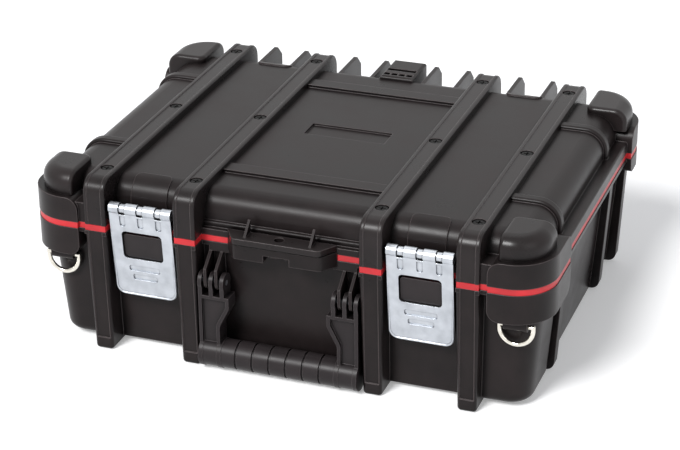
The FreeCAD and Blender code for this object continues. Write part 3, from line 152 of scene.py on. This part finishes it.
def mouldedPlastic(name, look):
    material, tree = newMaterial(name)
    place = addNode(tree, "ShaderNodeTexCoord").outputs["Object"]
    mottle = addNode(tree, "ShaderNodeTexNoise",
                     {"Scale": perMetre / look["mottle"], "Detail": 4, "Roughness": 0.6},
                     {"Vector": place})
    grain = addNode(tree, "ShaderNodeTexNoise",
                    {"Scale": perMetre / look["grain"], "Detail": 2, "Roughness": 0.5},
                    {"Vector": place})
    tint = addNode(tree, "ShaderNodeValToRGB", links={"Fac": mottle.outputs["Fac"]})
    for stop, at, shade in zip(tint.color_ramp.elements, look["patches"], ("dark", "pale")):
        stop.position = at
        stop.color = linear(look[shade])
    gloss = addNode(tree, "ShaderNodeMapRange",
                    {"From Min": glossFrom[0], "From Max": glossFrom[1],
                     "To Min": look["roughness"][0], "To Max": look["roughness"][1]},
                    {"Value": mottle.outputs["Fac"]})
    arris = addNode(tree, "ShaderNodeBevel", {"Radius": look["edge"] * millimetre}, samples=feelers)
    flat = addNode(tree, "ShaderNodeNewGeometry").outputs["Normal"]
    # where the softened normal turns away from the face there is an arris: this is the mask of the
    # painted highlight
    bend = addNode(tree, "ShaderNodeVectorMath", links={0: arris.outputs["Normal"], 1: flat},
                   operation="DOT_PRODUCT")
    highlightMask = addNode(tree, "ShaderNodeMapRange",
                   {"From Min": look["highlightFrom"][0], "From Max": look["highlightFrom"][1],
                    "To Min": 0, "To Max": look["highlightMost"]},
                   {"Value": bend.outputs["Value"]})
    # painted shade: the occlusion by nearby faces darkens the colour in the creases
    nook = addNode(tree, "ShaderNodeAmbientOcclusion", {"Distance": look["crease"] * millimetre},
                   samples=feelers)
    unshaded = addNode(tree, "ShaderNodeMapRange",
                   {"From Min": look["creaseFrom"][0], "From Max": look["creaseFrom"][1]},
                   {"Value": nook.outputs["AO"]})
    shadedTint = addNode(tree, "ShaderNodeMixRGB", {"Color1": linear(look["paintedCreaseShade"])},
                    {"Fac": unshaded.outputs["Result"], "Color2": tint.outputs["Color"]})
    # painted highlight: the arrises are lightened towards a pale grey
    colour = addNode(tree, "ShaderNodeMixRGB", {"Color2": linear(look["paintedHighlight"])},
                     {"Fac": highlightMask.outputs["Result"], "Color1": shadedTint.outputs["Color"]})
    bump = addNode(tree, "ShaderNodeBump",
                   {"Strength": look["grainStrength"], "Distance": look["grainDepth"] * millimetre},
                   {"Height": grain.outputs["Fac"], "Normal": arris.outputs["Normal"]})
    shader = addNode(tree, "ShaderNodeBsdfPrincipled",
                     {"IOR": look["ior"], "Specular IOR Level": look["specular"]},
                     {"Base Color": colour.outputs["Color"], "Roughness": gloss.outputs["Result"],
                      "Normal": bump.outputs["Normal"]})
    addNode(tree, "ShaderNodeOutputMaterial", links={"Surface": shader.outputs["BSDF"]})
    return material


# Thermoplastic elastomer, extruded: an even saturated red with a soft satin skin.
elastomer = {
    "deep": "#b61e26",
    "bright": "#d4272f",
    "patches": (0.35, 0.65),
    "patch": 30,                 # mm between paler lengths
    "ior": 1.5,
    "roughness": 0.42,
    "skin": 1.5,                 # mm between the skin's ripples
    "skinDepth": 0.03,           # mm
    "skinStrength": 0.4,
}


def extrudedElastomer(name, look):
    material, tree = newMaterial(name)
    place = addNode(tree, "ShaderNodeTexCoord").outputs["Object"]
    patch = addNode(tree, "ShaderNodeTexNoise", {"Scale": perMetre / look["patch"], "Detail": 3},
                    {"Vector": place})
    tint = addNode(tree, "ShaderNodeValToRGB", links={"Fac": patch.outputs["Fac"]})
    for stop, at, shade in zip(tint.color_ramp.elements, look["patches"], ("deep", "bright")):
        stop.position = at
        stop.color = linear(look[shade])
    skin = addNode(tree, "ShaderNodeTexNoise", {"Scale": perMetre / look["skin"], "Detail": 2},
                   {"Vector": place})
    bump = addNode(tree, "ShaderNodeBump",
                   {"Strength": look["skinStrength"], "Distance": look["skinDepth"] * millimetre},
                   {"Height": skin.outputs["Fac"]})
    shader = addNode(tree, "ShaderNodeBsdfPrincipled",
                     {"IOR": look["ior"], "Roughness": look["roughness"]},
                     {"Base Color": tint.outputs["Color"], "Normal": bump.outputs["Normal"]})
    addNode(tree, "ShaderNodeOutputMaterial", links={"Surface": shader.outputs["BSDF"]})
    return material


# Mild steel sheet, pressed and zinc plated: pale, cool and satin, with a faint cloudy
# bloom from the plating and a rolling direction down the sheet.
zincPlate = {
    "low": "#b2b6bc",
    "high": "#cbcfd5",
    "patches": (0.3, 0.7),
    "bloom": 12,                 # mm between clouds of the plating
    "paintedNookShade": "#5d6066",           # painted shade in the pressed corners, darker than the plating
    "crease": 2.2,               # mm
    "creaseFrom": (0.4, 0.9),
    "roughness": (0.30, 0.42),
    "rolling": 0.6,              # mm between rolling marks, drawn coarser so that they show
    "rollingRun": (1, 0.04, 0.04),
    "rollingDepth": 0.01,        # mm
    "rollingStrength": 0.15,
    "edge": 0.5,
}
# Steel wire, bent and bright nickel plated: a clear mirror with a warm tint.
nickelPlate = dict(zincPlate, low="#d9d4c8", high="#ece8df", paintedNookShade="#6e675a",
                   roughness=(0.10, 0.18), bloom=6, edge=0.3)
# Screws, headed and black oxide finished: nearly black metal with a dull shine.
blackOxide = dict(zincPlate, low="#121111", high="#1d1c1c", paintedNookShade="#070707",
                  roughness=(0.38, 0.5), bloom=3, edge=0.3)


def platedSteel(name, look):
    material, tree = newMaterial(name)
    place = addNode(tree, "ShaderNodeTexCoord").outputs["Object"]
    bloom = addNode(tree, "ShaderNodeTexNoise", {"Scale": perMetre / look["bloom"], "Detail": 4},
                    {"Vector": place})
    along = addNode(tree, "ShaderNodeMapping", {"Scale": look["rollingRun"]}, {"Vector": place})
    rolling = addNode(tree, "ShaderNodeTexNoise",
                      {"Scale": perMetre / look["rolling"], "Detail": 2},
                      {"Vector": along.outputs["Vector"]})
    tint = addNode(tree, "ShaderNodeValToRGB", links={"Fac": bloom.outputs["Fac"]})
    for stop, at, shade in zip(tint.color_ramp.elements, look["patches"], ("low", "high")):
        stop.position = at
        stop.color = linear(look[shade])
    gloss = addNode(tree, "ShaderNodeMapRange",
                    {"From Min": glossFrom[0], "From Max": glossFrom[1],
                     "To Min": look["roughness"][0], "To Max": look["roughness"][1]},
                    {"Value": rolling.outputs["Fac"]})
    arris = addNode(tree, "ShaderNodeBevel", {"Radius": look["edge"] * millimetre}, samples=feelers)
    bump = addNode(tree, "ShaderNodeBump",
                   {"Strength": look["rollingStrength"], "Distance": look["rollingDepth"] * millimetre},
                   {"Height": rolling.outputs["Fac"], "Normal": arris.outputs["Normal"]})
    # painted shade: the occlusion by nearby faces darkens the plating in the pressed corners and slots
    nook = addNode(tree, "ShaderNodeAmbientOcclusion", {"Distance": look["crease"] * millimetre},
                   samples=feelers)
    unshaded = addNode(tree, "ShaderNodeMapRange",
                   {"From Min": look["creaseFrom"][0], "From Max": look["creaseFrom"][1]},
                   {"Value": nook.outputs["AO"]})
    colour = addNode(tree, "ShaderNodeMixRGB", {"Color1": linear(look["paintedNookShade"])},
                     {"Fac": unshaded.outputs["Result"], "Color2": tint.outputs["Color"]})
    shader = addNode(tree, "ShaderNodeBsdfPrincipled", {"Metallic": 1},
                     {"Base Color": colour.outputs["Color"], "Roughness": gloss.outputs["Result"],
                      "Normal": bump.outputs["Normal"]})
    addNode(tree, "ShaderNodeOutputMaterial", links={"Surface": shader.outputs["BSDF"]})
    return material


finishes = {
    "mouldedPolypropylene": mouldedPlastic("mouldedPolypropylene", moulded),
    "smoothPolypropylene": mouldedPlastic("smoothPolypropylene", smoothMoulded),
    "glassFilledNylon": mouldedPlastic("glassFilledNylon", nylon),
    "extrudedElastomer": extrudedElastomer("extrudedElastomer", elastomer),
    "zincPlatedSteel": platedSteel("zincPlatedSteel", zincPlate),
    "nickelPlatedWire": platedSteel("nickelPlatedWire", nickelPlate),
    "blackOxideSteel": platedSteel("blackOxideSteel", blackOxide),
}

wears = {  # which piece wears which finish, by the start of its name
    "base_shell": "mouldedPolypropylene",
    "lid_shell": "mouldedPolypropylene",
    "rim_seal": "extrudedElastomer",
    "lid_strap": "smoothPolypropylene",
    "strap_screws": "blackOxideSteel",
    "corner_bumper": "smoothPolypropylene",
    "rear_stand_block": "mouldedPolypropylene",
    "hinge_pins": "zincPlatedSteel",
    "latch_flap": "zincPlatedSteel",
    "latch_leaf": "zincPlatedSteel",
    "latch_pin": "zincPlatedSteel",
    "latch_catch": "glassFilledNylon",
    "latch_rivets": "zincPlatedSteel",
    "carry_handle": "glassFilledNylon",
    "handle_pins": "zincPlatedSteel",
    "lock_tab": "smoothPolypropylene",
    "lock_block": "mouldedPolypropylene",
    "d_ring": "nickelPlatedWire",
}
crispAngle = 28  # degrees; a sharper turn between faces shows as an edge

for name, piece in nodes.items():
    finish = next(finishes[wears[start]] for start in wears if name.startswith(start))
    piece.data.materials.clear()
    piece.data.materials.append(finish)
    piece.data.set_sharp_from_angle(angle=math.radians(crispAngle))
print("finishes on:", len(finishes))

hem = {  # rolled lower edge of each latch flap, mm from its pin
    "halfWidth": 30,
    "foot": 87.8,
    "setOut": 8.5,    # how far the foot stands out from under the pin
    "riseFrom": 34,
    "round": 8,
    "roundStep": 15,  # degrees between the points of a rounded corner
    "wire": 1.1,
    "sides": 3,       # how finely the roll is divided
    "face": -3.9,
    "fade": 0.2,      # what is left of the roll at the top of the sides
}


def flapHem(name, joint, body):
    pin = Vector(joint["pos_m"])
    half = hem["halfWidth"] - hem["wire"]
    low = -hem["foot"] + hem["wire"]
    bend = hem["round"]
    outline = [(-half, -hem["riseFrom"])]
    for middle, start in ((-half + bend, 180), (half - bend, 270)):
        for turn in range(0, 91, hem["roundStep"]):
            angle = math.radians(start + turn)
            outline.append((middle + bend * math.cos(angle), low + bend + bend * math.sin(angle)))
    outline.append((half, -hem["riseFrom"]))
    curve = bpy.data.curves.new(name, "CURVE")
    curve.dimensions = "3D"
    curve.bevel_depth = hem["wire"] * millimetre
    curve.bevel_resolution = hem["sides"]
    curve.use_fill_caps = True
    line = curve.splines.new("POLY")
    line.points.add(len(outline) - 1)
    lean = math.atan(hem["setOut"] / hem["foot"])
    sway, drop = math.sin(lean), math.cos(lean)
    y = hem["face"]
    for point, (x, z) in zip(line.points, outline):
        spot = pin + Vector((x, y * drop - z * sway, y * sway + z * drop)) * millimetre
        point.co = (*spot, 1)
    line.radius_interpolation = "EASE"
    line.points[0].radius = hem["fade"]
    line.points[-1].radius = hem["fade"]
    piece = bpy.data.objects.new(name, curve)
    addToScene(piece)
    curve.materials.append(finishes["zincPlatedSteel"])
    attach(piece, body)


flapHem("flapHemLeft", joints["latch_left_hinge"], "latch_left")
flapHem("flapHemRight", joints["latch_right_hinge"], "latch_right")
print("latch hems rolled")

studio = {
    "floorColour": "#f4f4f4",
    "floorReach": 14,         # metres each way
    "floorDrop": 0.0004,      # metres under the feet
    "floorLift": 0.30,        # what the camera sees added to the floor, so that it ends as white
    "ambient": 0.32,
    "ambientColour": "#f0f3fa",
    # the key light's spread is in degrees across, wide enough for a soft shadow
    "key": {"from": (-0.6, -1.9, 1.9), "spread": 20, "strength": 3.1},
    "top": {"place": (-0.3, 0.9, 2.2), "size": 1.4, "power": 5},
    "fill": {"place": (1.9, -1.2, 1.1), "size": 1.4, "power": 5},
    "aim": (0, -0.05, 0.1),
}
white = (1, 1, 1, 1)


def seenDirectly(tree):  # one for the rays of the camera, of mirrors and of glass, or else nought
    rays = addNode(tree, "ShaderNodeLightPath")
    seen = addNode(tree, "ShaderNodeMath", operation="MAXIMUM",
                   links={0: rays.outputs["Is Camera Ray"], 1: rays.outputs["Is Glossy Ray"]})
    shown = addNode(tree, "ShaderNodeMath", operation="MAXIMUM",
                    links={0: seen.outputs["Value"], 1: rays.outputs["Is Transmission Ray"]})
    return shown.outputs["Value"]


def whitePaperFloor():
    mesh = bpy.data.meshes.new("paperFloor")
    reach = studio["floorReach"]
    corners = [(-reach, -reach, 0), (reach, -reach, 0), (reach, reach, 0), (-reach, reach, 0)]
    mesh.from_pydata(corners, [], [(0, 1, 2, 3)])
    floor = bpy.data.objects.new("paperFloor", mesh)
    floor.location.z = cadBox[0][2] - studio["floorDrop"]
    addToScene(floor)
    material, tree = newMaterial("whiteBackdropPaper")
    lift = addNode(tree, "ShaderNodeMath", {1: studio["floorLift"]}, {0: seenDirectly(tree)},
                   operation="MULTIPLY")
    paper = addNode(tree, "ShaderNodeBsdfDiffuse", {"Color": linear(studio["floorColour"])})
    glow = addNode(tree, "ShaderNodeEmission", {"Color": white}, {"Strength": lift.outputs["Value"]})
    both = addNode(tree, "ShaderNodeAddShader",
                   links={0: paper.outputs["BSDF"], 1: glow.outputs["Emission"]})
    addNode(tree, "ShaderNodeOutputMaterial", links={"Surface": both.outputs["Shader"]})
    mesh.materials.append(material)


def whiteWorld():
    world = bpy.data.worlds.new("whiteStudio")
    bpy.context.scene.world = world
    world.use_nodes = True
    tree = world.node_tree
    tree.nodes.clear()
    soft = addNode(tree, "ShaderNodeBackground",
                   {"Color": linear(studio["ambientColour"]), "Strength": studio["ambient"]})
    bright = addNode(tree, "ShaderNodeBackground", {"Color": white, "Strength": 1})
    blend = addNode(tree, "ShaderNodeMixShader",
                    links={"Fac": seenDirectly(tree), 1: soft.outputs["Background"],
                           2: bright.outputs["Background"]})
    addNode(tree, "ShaderNodeOutputWorld", links={"Surface": blend.outputs["Shader"]})


def placeLamp(name, data, place, aim):
    lamp = bpy.data.objects.new(name, data)
    lamp.location = place
    lamp.rotation_euler = (Vector(aim) - Vector(place)).to_track_quat("-Z", "Y").to_euler()
    addToScene(lamp)


def keyLight(name, light):
    data = bpy.data.lights.new(name, "SUN")
    data.energy = light["strength"]
    data.angle = math.radians(light["spread"])
    placeLamp(name, data, light["from"], (0, 0, 0))


def softbox(name, box):
    data = bpy.data.lights.new(name, "AREA")
    data.energy = box["power"]
    data.size = box["size"]
    placeLamp(name, data, box["place"], studio["aim"])


whitePaperFloor()
whiteWorld()
keyLight("keyLight", studio["key"])
for lampName in ("top", "fill"):
    softbox(lampName + "Softbox", studio[lampName])
bpy.context.scene.view_settings.view_transform = "Standard"
print("studio lit")
